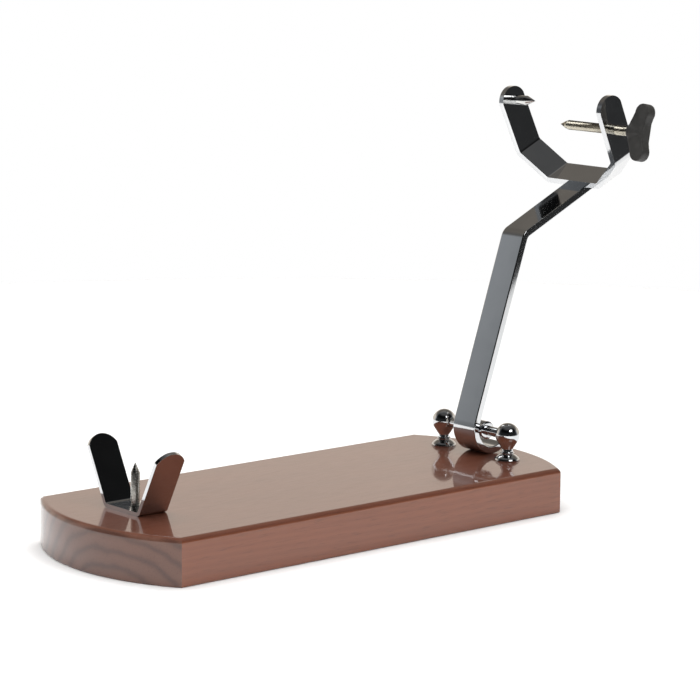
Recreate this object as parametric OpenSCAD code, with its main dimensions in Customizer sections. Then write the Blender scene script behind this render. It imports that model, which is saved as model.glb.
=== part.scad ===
// Folding ham stand: a wooden board, a V cradle with a spike for the shoulder end, and a
// hinged flat-bar arm that carries an open claw with a hand screw for the hoof end.
// Millimetres. +X runs along the board to the arm, +Z is up, the origin is the middle of
// the board's underside.

/* [Board] */
// Overall length of the board along its middle
board_len = 440; // [420:5:480]
// Width of the board
board_w = 178; // [160:1:200]
// Thickness of the board
board_t = 36.5; // [34:0.5:42]
// How far each rounded end bulges past its corners
end_bulge = 28; // [15:1:40]
// Radius of the rounded top edge
top_round = 4; // [1:0.5:6]
// Radius of the rounded bottom edge
bottom_round = 1.5; // [0.5:0.5:3]

/* [Cradle] */
// Middle of the cradle along the board
cradle_x = -162.5; // [-175:0.5:-120]
// Sideways place of the cradle
cradle_y = 6.5; // [-10:0.5:10]
// Width of the cradle strip
cradle_w = 26; // [20:1:30]
// Thickness of the cradle strip
cradle_t = 3; // [2:0.5:4]
// Width of the cradle's flat floor
cradle_floor = 43; // [34:1:50]
// Length of each wing from the floor corner to its tip
wing_len = 56; // [40:1:70]
// Lean of each wing away from upright
wing_lean = 27; // [15:1:35]
// Diameter of the spike
spike_d = 7; // [6.5:0.5:8]
// Height of the spike above the cradle floor
spike_h = 33; // [25:1:45]

/* [Pivot] */
// Place of the pivot axle along the board
axle_x = 181; // [175:1:185]
// Height of the pivot axle above the board
axle_h = 20.8; // [20:0.2:22]
// Diameter of the pivot axle
axle_d = 8; // [7:0.5:8.5]
// Distance from the board's middle line to each ball post
post_y = 38; // [34:0.5:44]
// Diameter of the ball on each post
ball_d = 20; // [19:0.5:21]
// Outside diameter of the sleeve welded to the arm
sleeve_d = 15; // [12:0.5:15]

/* [Arm] */
// Width of the arm's flat bar
arm_w = 25.5; // [20:0.5:30]
// Thickness of the arm's flat bar
arm_t = 6; // [5:0.5:7]
// Outside radius of the curled foot
foot_r = 21.5; // [20:0.5:22]
// Lean of the leg away from upright
leg_lean = 18.5; // [14:0.5:20]
// Length of the straight leg
leg_len = 156; // [130:1:165]
// Rise of the upper run above level
upper_rise = 25.4; // [20:0.2:30]
// Length of the straight upper run
upper_len = 96.5; // [80:0.5:110]
// Inside radius of the bend between leg and upper run
knee_r = 6; // [4:1:10]

/* [Claw] */
// Width of the claw strip
claw_w = 25.5; // [20:0.5:28]
// Thickness of the claw strip
claw_t = 5; // [4:0.5:5.5]
// Length of the claw's bottom run
claw_bottom = 57; // [46:1:62]
// Length of each slanting run
claw_slant = 33; // [28:1:36]
// Turn of each lower bend
claw_turn_low = 41.5; // [38:0.5:45]
// Turn of each upper bend
claw_turn_high = 47; // [43:0.5:50]
// Length of each side up to the middle of its round tip
claw_side = 42; // [38:0.5:50]
// Diameter of the hand screw
screw_d = 8; // [6:0.5:8]
// Height of the hand screw above the claw's floor
screw_h = 46.5; // [40:0.5:50]
// Reach of the screw's point past the middle of the claw
screw_reach = 6; // [0:1:10]
// Gap between the claw's side and the wing knob
knob_gap = 15; // [11.5:0.5:20]
// Overall length of the wing knob
knob_len = 47; // [40:1:55]

/* [Hidden] */
$fn = 96;

FAR = 1;
NEAR = -1;
fit = 0.05;                      // radial clearance of every running fit
arc_step = 4;                    // degrees of bend between two points of a strip's outline
tip_spare = 0.5;

end_r = (pow(board_w, 2) / 4 + pow(end_bulge, 2)) / (2 * end_bulge);
end_x = board_len / 2 - end_r;

axle_z = board_t + axle_h;
foot_x = axle_x - sleeve_d / 2 - arm_t + foot_r;
foot_gap = 0.1;                  // the foot's lowest line stays this far off the board
foot_z = board_t + foot_r + foot_gap;
foot_tail = 38;                  // how far the foot curls on past its lowest point
knee_turn = 90 - leg_lean - upper_rise;

bolt_d = 6;
bolt_clear = 0.25;               // radial clearance of a bolt in the wood
recess_r = 10;
recess_h = 12;
washer_r = 9;
washer_t = 1.6;
bolt_grip = 10;                  // thread length inside a ball post
hex_key = 5;

post_foot_r = 10.25;
post_rim = 1.4;
post_dome_h = 4.8;
bead_z = 6.1;
bead_r = 1.3;
neck_r = 4.4;
neck_z = 8.6;
taper = 30;                      // half angle of the cone between the neck and the ball

tooth_d = 8;
tooth_len = 26;
tooth_shank_d = 6;
tooth_point = 9.5;
tooth_rise = 1.8;                // the tooth sits this far above the middle of the round tip
claw_clear = 0.6;                // the arm's end stops this far short of the claw's back edge

screw_point = 8;
knob_depth = 20.5;
knob_t = 9;
lobe_r = 7.4;
knob_hub_r = 7;
knob_bore = 13;
knob_lean = 10;                  // lean of the wings from upright, towards +X

// ---- shared shapes ---------------------------------------------------------------

// Places along the outer face of a strip that is bent along a path of
// [length or inside radius, turn] steps, each as [point, direction]. The strip starts at
// "at" along +X and turns towards +Y; a step with no turn is a straight run.
function stations(path, t, at, i = 0, dir = 0) =
    i == len(path) ? [[at, dir]] :
    let(size = path[i][0], turn = path[i][1])
    turn == 0 ? concat([[at, dir]], stations(path, t, at + size * [cos(dir), sin(dir)], i + 1, dir)) :
    let(r = size + t, middle = at + r * [-sin(dir), cos(dir)], steps = ceil(turn / arc_step))
    concat([for (k = [0:steps - 1]) let(a = dir + turn * k / steps) [middle + r * [sin(a), -cos(a)], a]],
           stations(path, t, middle + r * [sin(dir + turn), -cos(dir + turn)], i + 1, dir + turn));

// The same strip bent both ways from the start of the path.
function both_ways(line) = concat(
    [for (k = [len(line) - 1:-1:1]) [[-line[k][0][0], line[k][0][1]], -line[k][1]]],
    [for (k = [1:len(line) - 1]) line[k]]);

// A flat strip along a line of stations, standing in the XZ plane and centred on Y.
module strip(line, w, t) {
    rotate([90, 0, 0]) linear_extrude(w, center = true) polygon(concat(
        [for (s = line) s[0]],
        [for (k = [len(line) - 1:-1:0]) line[k][0] + t * [-sin(line[k][1]), cos(line[k][1])]]));
}

// A cutter for both ends of such a strip: it leaves round tips of radius r that stop
// tip_spare short of the square ends.
module tip_cutter(line, w, t, r) {
    end = line[len(line) - 1];
    for (turn = [0, 180])
        rotate([0, 0, turn]) translate([end[0][0], 0, end[0][1]]) rotate([0, -end[1], 0])
            translate([-r - tip_spare, 0, -1]) linear_extrude(t + 2) difference() {
                translate([0, -w]) square([r + tip_spare + 1, 2 * w]);
                circle(r = r);
            }
}

// Outside length that a bend takes from each of the two straight runs beside it.
function bend_cut(r, t, turn) = (r + t) * tan(turn / 2);

// Places its children at the pivot axle, with +Z along the far side of the stand.
module along_axle() {
    translate([axle_x, 0, axle_z]) rotate([-90, 0, 0]) children();
}

// ---- board -------------------------------------------------------------------------

module edge_profile(half) {
    difference() {
        union() {
            square([half - top_round, board_t]);
            translate([0, bottom_round]) square([half, board_t - top_round - bottom_round]);
            square([half - bottom_round, board_t / 2]);
            translate([half - top_round, board_t - top_round]) circle(r = top_round);
            translate([half - bottom_round, bottom_round]) circle(r = bottom_round);
        }
        translate([-half, 0]) square([half, board_t]);
    }
}

module rounded_plank() {
    translate([-board_len / 2, 0, 0]) rotate([90, 0, 90]) linear_extrude(board_len) {
        edge_profile(board_w / 2);
        mirror([1, 0]) edge_profile(board_w / 2);
    }
}

module bolt_way(x, y) {
    translate([x, y, -1]) {
        cylinder(r = recess_r, h = recess_h + 1);
        cylinder(r = bolt_d / 2 + bolt_clear, h = board_t + 2);
    }
}

module base_board() {
    color("sienna") difference() {
        intersection() {
            rounded_plank();
            union() {
                translate([-end_x, 0, 0]) rotate_extrude() edge_profile(end_r);
                translate([-end_x, -board_w, 0]) cube([2 * end_x, 2 * board_w, board_t]);
                translate([end_x, 0, 0]) rotate_extrude() edge_profile(end_r);
            }
        }
        bolt_way(cradle_x, cradle_y);
        bolt_way(axle_x, post_y);
        bolt_way(axle_x, -post_y);
    }
}

// ---- cradle ------------------------------------------------------------------------

cradle_bend_r = 2;
cradle_turn = 90 - wing_lean;
cradle_cut = bend_cut(cradle_bend_r, cradle_t, cradle_turn);
wing_tip_sag = 8;
wing_tip_r = (pow(cradle_w / 2, 2) + pow(wing_tip_sag, 2)) / (2 * wing_tip_sag);

module cradle_bracket() {
    line = both_ways(stations(
        [[cradle_floor / 2 - cradle_cut, 0], [cradle_bend_r, cradle_turn],
         [wing_len - cradle_cut + tip_spare, 0]], cradle_t, [0, 0]));
    color("silver") translate([cradle_x, cradle_y, board_t]) difference() {
        rotate([0, 0, 90]) strip(line, cradle_w, cradle_t);
        rotate([0, 0, 90]) tip_cutter(line, cradle_w, cradle_t, wing_tip_r);
        translate([0, 0, -1]) cylinder(r = bolt_d / 2 + fit, h = cradle_t + 2);
    }
}

spike_point = 7.5;
stud_end = recess_h - washer_t - 7;
spike_base = board_t + cradle_t;

module cradle_spike() {
    color("gainsboro") translate([cradle_x, cradle_y, 0]) {
        translate([0, 0, stud_end]) cylinder(d = bolt_d, h = spike_base - stud_end);
        translate([0, 0, spike_base]) cylinder(d = spike_d, h = spike_h - spike_point);
        translate([0, 0, spike_base + spike_h - spike_point])
            cylinder(d1 = spike_d, d2 = 0.3, h = spike_point);
    }
}

// ---- fasteners under the board -----------------------------------------------------

module flat_washer(x, y) {
    translate([x, y, recess_h - washer_t]) difference() {
        cylinder(r = washer_r, h = washer_t);
        translate([0, 0, -1]) cylinder(r = bolt_d / 2 + bolt_clear, h = washer_t + 2);
    }
}

module socket_bolt(x, y) {
    head_h = bolt_d;
    under_head = recess_h - washer_t;
    translate([x, y, 0]) difference() {
        union() {
            translate([0, 0, under_head - head_h]) cylinder(d = 10, h = head_h);
            translate([0, 0, under_head - 1])
                cylinder(d = bolt_d, h = board_t + bolt_grip - under_head + 1);
        }
        translate([0, 0, under_head - head_h - 1])
            cylinder(d = hex_key / cos(30), h = head_h / 2 + 1, $fn = 6);
    }
}

module spike_washer() { color("lightgrey") flat_washer(cradle_x, cradle_y); }

module spike_nut() {
    nut_h = 5;
    nut_flats = 10;
    color("lightgrey") translate([cradle_x, cradle_y, recess_h - washer_t - nut_h]) difference() {
        cylinder(d = nut_flats / cos(30), h = nut_h, $fn = 6);
        translate([0, 0, -1]) cylinder(r = bolt_d / 2 + fit, h = nut_h + 2);
    }
}

module far_post_bolt() { color("lightgrey") socket_bolt(axle_x, post_y); }
module near_post_bolt() { color("lightgrey") socket_bolt(axle_x, -post_y); }
module far_post_washer() { color("lightgrey") flat_washer(axle_x, post_y); }
module near_post_washer() { color("lightgrey") flat_washer(axle_x, -post_y); }

// ---- ball posts and axle -----------------------------------------------------------

module post_body() {
    ball_r = ball_d / 2;
    cone_top_r = ball_r * cos(taper);
    cone_top_z = axle_h - ball_r * sin(taper);
    dome_r = (pow(post_foot_r, 2) + pow(post_dome_h, 2)) / (2 * post_dome_h);
    cylinder(r = post_foot_r, h = post_rim);
    translate([0, 0, post_rim]) intersection() {
        translate([0, 0, post_dome_h - dome_r]) sphere(r = dome_r);
        cylinder(r = post_foot_r, h = post_dome_h);
    }
    cylinder(r = neck_r, h = neck_z);
    translate([0, 0, bead_z]) rotate_extrude() translate([neck_r, 0]) circle(r = bead_r);
    translate([0, 0, neck_z]) cylinder(r1 = neck_r, r2 = cone_top_r, h = cone_top_z - neck_z);
    translate([0, 0, axle_h]) sphere(r = ball_r);
}

// side: which way the post stands from the middle line; its axle bore faces inwards.
module ball_post(side) {
    color("silver") difference() {
        translate([axle_x, side * post_y, board_t]) post_body();
        along_axle() cylinder(d = axle_d + 2 * fit, h = 2 * (post_y + axle_d * 0.65), center = true);
        translate([axle_x, side * post_y, board_t - 1])
            cylinder(r = bolt_d / 2 + fit, h = bolt_grip + 1.5);
    }
}

module far_ball_post() { ball_post(FAR); }
module near_ball_post() { ball_post(NEAR); }

module axle_rod() {
    color("silver") along_axle()
        cylinder(d = axle_d, h = 2 * (post_y + axle_d * 0.6), center = true);
}

// ---- arm ---------------------------------------------------------------------------

module arm_bar() {
    path = [[foot_r - arm_t, foot_tail + 90 + leg_lean], [leg_len, 0], [knee_r, knee_turn],
            [upper_len, 0]];
    color("silver") translate([foot_x, 0, foot_z]) rotate([0, 0, 180])
        rotate([0, foot_tail, 0]) translate([0, 0, -foot_r])
            strip(stations(path, arm_t, [0, 0]), arm_w, arm_t);
}

module pivot_sleeve() {
    sleeve_len = arm_w + 3;
    color("silver") along_axle() difference() {
        cylinder(d = sleeve_d, h = sleeve_len, center = true);
        cylinder(d = axle_d + 2 * fit, h = sleeve_len + 2, center = true);
    }
}

// ---- claw --------------------------------------------------------------------------

// Where the straight leg starts and where the upper run ends, on the bar's outer face.
leg_start = [foot_x - foot_r * cos(leg_lean), foot_z + foot_r * sin(leg_lean)];
leg_dir = [sin(leg_lean), cos(leg_lean)];
upper_dir = [cos(upper_rise), sin(upper_rise)];
knee_cut = bend_cut(knee_r, arm_t, knee_turn);
knee_at = leg_start + (leg_len + knee_cut) * leg_dir;
arm_end = knee_at + (knee_cut + upper_len) * upper_dir;
claw_back = arm_end + claw_clear * upper_dir;

// Places its children in the claw's own frame: the middle of its underside at the origin,
// +Z up between its sides, +X along the upper run.
module at_claw() {
    translate([claw_back[0], 0, claw_back[1]]) rotate([0, -upper_rise, 0])
        translate([-claw_w / 2, 0, 0]) children();
}

claw_bend_r = 3;
claw_tip_r = claw_w / 2 + 0.4;
cut_low = bend_cut(claw_bend_r, claw_t, claw_turn_low);
cut_high = bend_cut(claw_bend_r, claw_t, claw_turn_high);
side_tilt = claw_turn_low + claw_turn_high - 90;

// The outer corners and the tip centre of one side, as [y, z] in the claw's frame.
corner_low = [claw_bottom / 2 + claw_t * tan(claw_turn_low / 2), 0];
slant_out = claw_slant + claw_t * (tan(claw_turn_low / 2) + tan(claw_turn_high / 2));
corner_high = corner_low + slant_out * [cos(claw_turn_low), sin(claw_turn_low)];
side_out = claw_side + claw_t * tan(claw_turn_high / 2);
tip = corner_high + side_out * [-sin(side_tilt), cos(side_tilt)];
side_y = corner_high[0] - (screw_h + claw_t - corner_high[1]) * tan(side_tilt);

// Places its children where the tooth is riveted to the far side's outer face, +Z inwards.
module at_tooth() {
    foot = tip + tooth_rise * [-sin(side_tilt), cos(side_tilt)];
    translate([0, foot[0], foot[1]]) rotate([90 + side_tilt, 0, 0]) children();
}

// Places its children on the hand screw's axis, z = 0 on the middle line, +Z to the far side.
module at_screw() {
    translate([0, 0, claw_t + screw_h]) rotate([-90, 0, 0]) children();
}

module claw_ring() {
    line = both_ways(stations(
        [[corner_low[0] - cut_low, 0], [claw_bend_r, claw_turn_low],
         [slant_out - cut_low - cut_high, 0], [claw_bend_r, claw_turn_high],
         [side_out - cut_high + claw_tip_r + tip_spare, 0]], claw_t, [0, 0]));
    color("silver") at_claw() difference() {
        rotate([0, 0, 90]) strip(line, claw_w, claw_t);
        rotate([0, 0, 90]) tip_cutter(line, claw_w, claw_t, claw_tip_r);
        at_tooth() translate([0, 0, -1]) cylinder(d = tooth_shank_d + 2 * fit, h = claw_t + 2);
        at_screw() translate([0, 0, -side_y - claw_t]) cylinder(r = screw_d / 2 + fit, h = 2 * claw_t + 5);
    }
}

module claw_tooth() {
    color("gainsboro") at_claw() at_tooth() {
        cylinder(d = tooth_shank_d, h = claw_t);
        translate([0, 0, claw_t]) cylinder(d = tooth_d, h = tooth_len - tooth_point);
        translate([0, 0, claw_t + tooth_len - tooth_point])
            cylinder(d1 = tooth_d, d2 = 0.3, h = tooth_point);
    }
}

knob_face = side_y + knob_gap;
screw_tail = knob_face + knob_bore - 1;

module hoof_screw() {
    color("gainsboro") at_claw() at_screw() {
        translate([0, 0, -screw_tail]) cylinder(d = screw_d, h = screw_tail + screw_reach - screw_point);
        translate([0, 0, screw_reach - screw_point])
            cylinder(d1 = screw_d, d2 = 0.8, h = screw_point);
    }
}

// One wing of the knob in its own plane: x away from the axis, y along it to the outside.
module wing_outline() {
    lobe_x = knob_len / 2 - lobe_r;
    lobe_y = knob_depth - lobe_r;
    translate([lobe_x, lobe_y]) circle(r = lobe_r);
    polygon([[0, 1.5], [knob_hub_r, 1.5], [knob_hub_r + 2, lobe_y - lobe_r + 1],
             [lobe_x, lobe_y - lobe_r], [lobe_x, knob_depth], [knob_hub_r, knob_depth - 2],
             [0, knob_depth - 2.5]]);
}

module wing_knob() {
    color("dimgray") at_claw() at_screw() rotate([0, 180, 0]) difference() {
        union() {
            translate([0, 0, knob_face]) cylinder(r = knob_hub_r, h = knob_depth - 4);
            for (turn = [0, 180])
                rotate([0, 0, 90 - upper_rise - knob_lean + turn]) translate([0, knob_t / 2, knob_face])
                    rotate([90, 0, 0]) linear_extrude(knob_t) wing_outline();
        }
        translate([0, 0, knob_face - 1]) cylinder(r = screw_d / 2 + fit, h = knob_bore + 1);
    }
}

base_board();
cradle_bracket();
cradle_spike();
spike_washer();
spike_nut();
far_ball_post();
near_ball_post();
far_post_bolt();
near_post_bolt();
far_post_washer();
near_post_washer();
axle_rod();
arm_bar();
pivot_sleeve();
claw_ring();
claw_tooth();
hoof_screw();
wing_knob();
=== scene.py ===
# %% [markdown]
# # A folding ham stand
# The stand is a lacquered board with a V cradle and a spike at one end, and a hinged
# chrome arm with an open claw and a hand screw at the other. Its sizes and its joints are
# already settled in a CAD model. This lesson builds the finish around that model: rounded
# bar stock, turned posts, a cut thread, stained wood under lacquer, and chrome.
#
# The first cell loads the CAD model as a fixed frame, and each dressed piece is compared
# with its box as it is handed over.

# %% Load the frame
from math import acos, asin, ceil, cos, degrees, pi, radians, sin, sqrt, tan

import bmesh
import bpy
from mathutils import Matrix, Vector


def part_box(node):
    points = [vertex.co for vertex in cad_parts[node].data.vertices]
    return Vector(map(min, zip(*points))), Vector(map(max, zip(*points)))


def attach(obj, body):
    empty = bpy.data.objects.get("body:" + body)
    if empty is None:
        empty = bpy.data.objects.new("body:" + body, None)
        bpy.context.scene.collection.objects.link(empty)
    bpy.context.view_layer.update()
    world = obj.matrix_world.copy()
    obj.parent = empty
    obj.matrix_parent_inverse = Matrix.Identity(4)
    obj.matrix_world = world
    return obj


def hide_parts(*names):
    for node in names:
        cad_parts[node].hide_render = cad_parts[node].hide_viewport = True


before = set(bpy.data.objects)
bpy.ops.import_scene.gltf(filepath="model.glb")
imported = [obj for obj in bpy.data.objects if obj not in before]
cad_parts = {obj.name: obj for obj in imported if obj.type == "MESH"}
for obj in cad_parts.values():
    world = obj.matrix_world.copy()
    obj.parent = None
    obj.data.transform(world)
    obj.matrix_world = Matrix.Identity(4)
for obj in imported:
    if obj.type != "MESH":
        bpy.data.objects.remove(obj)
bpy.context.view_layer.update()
mm = 0.001

# %% [markdown]
# ## Sizes
# A maker writes the stock sizes down once and measures everything else from the work.
# Here the stock sizes are named values in metres, and the places come from the frame's
# own boxes: the axle, the board's top and the arm's foot are where the CAD has them.

# %% Places taken from the frame
def middle(node):
    low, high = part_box(node)
    return (low + high) / 2


board_low, board_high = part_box("base_board")
board_top = board_high.z
axle = middle("axle_rod")
far_post = middle("far_ball_post")
spike_at = middle("cradle_spike")
arm_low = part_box("arm_bar")[0]
print("board top at", round(board_top / mm, 2), "mm, axle at", [round(c / mm, 1) for c in axle])

# %% Stock sizes
fit = 0.05 * mm
end_bulge = 28 * mm
top_round = 4 * mm
bottom_round = 1.5 * mm

cradle_w, cradle_t = 26 * mm, 3 * mm
cradle_floor, wing_len = 43 * mm, 56 * mm
wing_turn = radians(90 - 27)
wing_tip_r = 14.56 * mm
spike_r, spike_point = 3.5 * mm, 7.5 * mm

arm_w, arm_t = 25.5 * mm, 6 * mm
foot_r, foot_tail = 21.5 * mm, radians(38)
leg_lean, leg_len = radians(18.5), 156 * mm
upper_rise, upper_len = radians(25.4), 96.5 * mm
knee_r = 6 * mm
axle_r, sleeve_r = 4 * mm, 7.5 * mm
ball_r = 10 * mm

claw_w, claw_t = 25.5 * mm, 5 * mm
claw_bottom, claw_slant, claw_side = 57 * mm, 33 * mm, 42 * mm
claw_turns = radians(41.5), radians(47)
claw_bend_r = 3 * mm
tooth_r, tooth_len, tooth_point, tooth_rise = 4 * mm, 26 * mm, 9.5 * mm, 1.8 * mm
screw_r, screw_h = 4 * mm, 46.5 * mm
screw_reach, screw_point, screw_pitch = 6 * mm, 8 * mm, 1.25 * mm
knob_gap, knob_len, knob_depth, knob_t = 15 * mm, 47 * mm, 20.5 * mm, 9 * mm
lobe_r, knob_hub_r, knob_bore = 7.4 * mm, 7 * mm, 13 * mm
knob_lean = radians(10)

# %% [markdown]
# ## Working frames
# A bent part is easiest to draw lying straight and square, and to turn into place when it
# is finished. Each frame below is a matrix that says where such a part belongs. The arm's
# own bends decide where the claw sits, so they are walked through once here, from the
# foot's curl up the leg, round the knee and along the upper run.

# %% Where the arm ends and the claw starts
def bend_cut(inside_r, thick, turn):
    return (inside_r + thick) * tan(turn / 2)


foot_at = Vector((arm_low.x + foot_r, 0, arm_low.z + foot_r))
leg_dir = Vector((sin(leg_lean), 0, cos(leg_lean)))
upper_dir = Vector((cos(upper_rise), 0, sin(upper_rise)))
knee_turn = pi / 2 - leg_lean - upper_rise
knee_cut = bend_cut(knee_r, arm_t, knee_turn)
leg_start = foot_at + foot_r * Vector((-cos(leg_lean), 0, sin(leg_lean)))
knee_at = leg_start + (leg_len + knee_cut) * leg_dir
claw_back = knee_at + (knee_cut + upper_len + 0.6 * mm) * upper_dir

arm_frame = (Matrix.Translation(foot_at) @ Matrix.Rotation(pi, 4, "Z")
             @ Matrix.Rotation(foot_tail, 4, "Y") @ Matrix.Translation((0, 0, -foot_r)))
claw_frame = (Matrix.Translation(claw_back) @ Matrix.Rotation(-upper_rise, 4, "Y")
              @ Matrix.Translation((-claw_w / 2, 0, 0)))
print("claw stands at", [round(c / mm, 2) for c in claw_frame.translation])

# %% Where the screw, the tooth and the knob sit on the claw
turn_low, turn_high = claw_turns
side_tilt = turn_low + turn_high - pi / 2
cut_low = bend_cut(claw_bend_r, claw_t, turn_low)
cut_high = bend_cut(claw_bend_r, claw_t, turn_high)
slant_out = claw_slant + claw_t * (tan(turn_low / 2) + tan(turn_high / 2))
side_out = claw_side + claw_t * tan(turn_high / 2)
corner_low = Vector((0, claw_bottom / 2 + claw_t * tan(turn_low / 2), 0))
corner_high = corner_low + slant_out * Vector((0, cos(turn_low), sin(turn_low)))
side_dir = Vector((0, -sin(side_tilt), cos(side_tilt)))
tooth_at = corner_high + (side_out + tooth_rise) * side_dir
side_y = corner_high.y - (screw_h + claw_t - corner_high.z) * tan(side_tilt)
knob_face = side_y + knob_gap
screw_tail = knob_face + knob_bore - 1 * mm

screw_frame = (claw_frame @ Matrix.Translation((0, 0, claw_t + screw_h))
               @ Matrix.Rotation(-pi / 2, 4, "X"))
tooth_frame = claw_frame @ Matrix.Translation(tooth_at) @ Matrix.Rotation(pi / 2 + side_tilt, 4, "X")
knob_frame = (screw_frame @ Matrix.Rotation(pi, 4, "Y")
              @ Matrix.Rotation(pi / 2 - upper_rise - knob_lean, 4, "Z")
              @ Matrix.Translation((0, 0, knob_face)))
print("screw axis at", [round(c / mm, 2) for c in screw_frame.translation])

# %% [markdown]
# ## The workbench
# Modelling operators act on whatever is selected, just as a mouse would. These few helpers
# keep that tidy: one opens a piece for editing with nothing picked, one picks faces or
# edges by a rule, and one closes the piece and applies its modifiers. The last one sets a
# finished piece down in its place, so that its object ends up at the origin.

# %% Helpers for selecting and finishing
def deselect_all():
    bpy.ops.object.select_all(action="DESELECT")


def make_active(piece, *others):
    deselect_all()
    for each in (piece, *others):
        each.select_set(True)
    bpy.context.view_layer.objects.active = piece


def open_piece(piece, kind="FACE"):
    make_active(piece)
    bpy.ops.object.mode_set(mode="EDIT")
    bpy.ops.mesh.select_mode(type=kind)
    bpy.ops.mesh.select_all(action="DESELECT")


def pick(piece, parts, wanted):
    shape = bmesh.from_edit_mesh(piece.data)
    found = [part for part in getattr(shape, parts) if wanted(part)]
    for part in found:
        part.select_set(True)
    shape.select_flush_mode()
    bmesh.update_edit_mesh(piece.data)
    return len(found)


def close_piece():
    bpy.ops.object.mode_set(mode="OBJECT")


def extrude(move):
    bpy.ops.mesh.extrude_region_move(TRANSFORM_OT_translate={"value": move})


def resize(ratio, about=(0, 0, 0)):
    bpy.ops.transform.resize(value=ratio, center_override=about)


def apply_modifiers(piece):
    make_active(piece)
    for modifier in list(piece.modifiers):
        bpy.ops.object.modifier_apply(modifier=modifier.name)


def settle(piece, place=Matrix.Identity(4)):
    bpy.context.view_layer.update()
    piece.matrix_world = place @ piece.matrix_world
    make_active(piece)
    bpy.ops.object.transform_apply(location=True, rotation=True, scale=True)


def clean(piece, reach=0.001 * mm):
    open_piece(piece)
    bpy.ops.mesh.select_all(action="SELECT")
    bpy.ops.mesh.remove_doubles(threshold=reach)
    bpy.ops.mesh.normals_make_consistent(inside=False)
    close_piece()


# %% Helpers for rounding, smoothing and cutting
def round_edges(piece, width, segments=3, sharper_than=radians(40)):
    bevel = piece.modifiers.new("rounding", "BEVEL")
    bevel.width = width
    bevel.segments = segments
    bevel.limit_method = "ANGLE"
    bevel.angle_limit = sharper_than
    bevel.use_clamp_overlap = True
    apply_modifiers(piece)


def smooth(piece, angle=radians(35), weighted=True):
    make_active(piece)
    bpy.ops.object.shade_smooth_by_angle(angle=angle)
    if weighted:
        weights = piece.modifiers.new("flat_faces_first", "WEIGHTED_NORMAL")
        weights.keep_sharp = True
        apply_modifiers(piece)


def cut_with(piece, tool, how="DIFFERENCE"):
    boolean = piece.modifiers.new("cut", "BOOLEAN")
    boolean.operation = how
    boolean.solver = "EXACT"
    boolean.object = tool
    apply_modifiers(piece)
    bpy.data.objects.remove(tool)


def drill(piece, radius, start, end, steps=48):
    start, end = Vector(start), Vector(end)
    deselect_all()
    bpy.ops.mesh.primitive_cylinder_add(vertices=steps, radius=radius, depth=(end - start).length)
    bit = bpy.context.object
    turn = (end - start).to_track_quat("Z", "Y").to_matrix().to_4x4()
    settle(bit, Matrix.Translation((start + end) / 2) @ turn)
    cut_with(piece, bit)


# %% [markdown]
# ## Handing a piece over
# Every finished piece is given its material and says which body it moves with and which
# CAD nodes it stands for. The helper below does that and prints how far the piece's box is
# from the CAD node's box, which shows at once when a shape has drifted from the drawing.

# %% Helper for handing over
def hand_over(piece, body, finish, material, *nodes):
    piece.data.materials.clear()
    piece.data.materials.append(material)
    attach(piece, body)
    if nodes:
        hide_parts(*nodes)
    spots = [v.co for v in piece.data.vertices]
    low = Vector([min(s[i] for s in spots) for i in range(3)])
    high = Vector([max(s[i] for s in spots) for i in range(3)])
    drift = 0
    if len(nodes) == 1:
        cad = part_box(nodes[0])
        drift = max(abs(a - b) for a, b in zip((*low, *high), (*cad[0], *cad[1])))
    open_edges = sum(1 for n in edge_uses(piece).values() if n != 2)
    print(f"{piece.name}: {len(piece.data.polygons)} faces, {open_edges} open edges, "
          f"{drift / mm:.2f} mm from the CAD box")


def edge_uses(piece):
    uses = {tuple(sorted(edge)): 0 for edge in piece.data.edge_keys}
    for face in piece.data.polygons:
        for edge in face.edge_keys:
            uses[tuple(sorted(edge))] += 1
    return uses


# %% [markdown]
# ## Shader helpers
# A finish is a small network of shader nodes. Writing `add` and `link` once keeps each
# network short enough to read as a list of steps.

# %% Helpers for shader networks
def add(tree, kind, **settings):
    made = tree.nodes.new(kind)
    for key, value in settings.items():
        setattr(made, key, value)
    return made


def link(tree, source, target):
    tree.links.new(source, target)


def new_group(name, inputs, outputs):
    tree = bpy.data.node_groups.new(name, "ShaderNodeTree")
    for label, kind, value in inputs:
        socket = tree.interface.new_socket(label, in_out="INPUT", socket_type=kind)
        if value is not None:
            socket.default_value = value
    for label, kind in outputs:
        tree.interface.new_socket(label, in_out="OUTPUT", socket_type=kind)
    return tree, add(tree, "NodeGroupInput"), add(tree, "NodeGroupOutput")


def ramp(tree, source, stops):
    made = add(tree, "ShaderNodeValToRGB")
    while len(made.color_ramp.elements) < len(stops):
        made.color_ramp.elements.new(0.5)
    for element, (place, colour) in zip(made.color_ramp.elements, stops):
        element.position = place
        element.color = colour if len(colour) == 4 else (*colour, 1)
    link(tree, source, made.inputs["Fac"])
    return made.outputs["Color"]


def grey(value):
    return (value, value, value, 1)


def blend_colours(tree, factor, first, second, how="MIX"):
    made = add(tree, "ShaderNodeMix", data_type="RGBA", blend_type=how)
    for socket, value in zip((made.inputs[0], made.inputs[6], made.inputs[7]), (factor, first, second)):
        if isinstance(value, bpy.types.NodeSocket):
            link(tree, value, socket)
        else:
            socket.default_value = value
    return made.outputs[2]


def calculate(tree, operation, first, second=0.0, third=None):
    made = add(tree, "ShaderNodeMath", operation=operation)
    for socket, value in zip(made.inputs, (first, second, third)):
        if isinstance(value, bpy.types.NodeSocket):
            link(tree, value, socket)
        elif value is not None:
            socket.default_value = value
    return made.outputs[0]


def noise(tree, vector, scale, detail=3.0, roughness=0.5, distortion=0.0):
    made = add(tree, "ShaderNodeTexNoise")
    made.inputs["Scale"].default_value = scale
    made.inputs["Detail"].default_value = detail
    made.inputs["Roughness"].default_value = roughness
    made.inputs["Distortion"].default_value = distortion
    link(tree, vector, made.inputs["Vector"])
    return made.outputs["Fac"]


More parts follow.
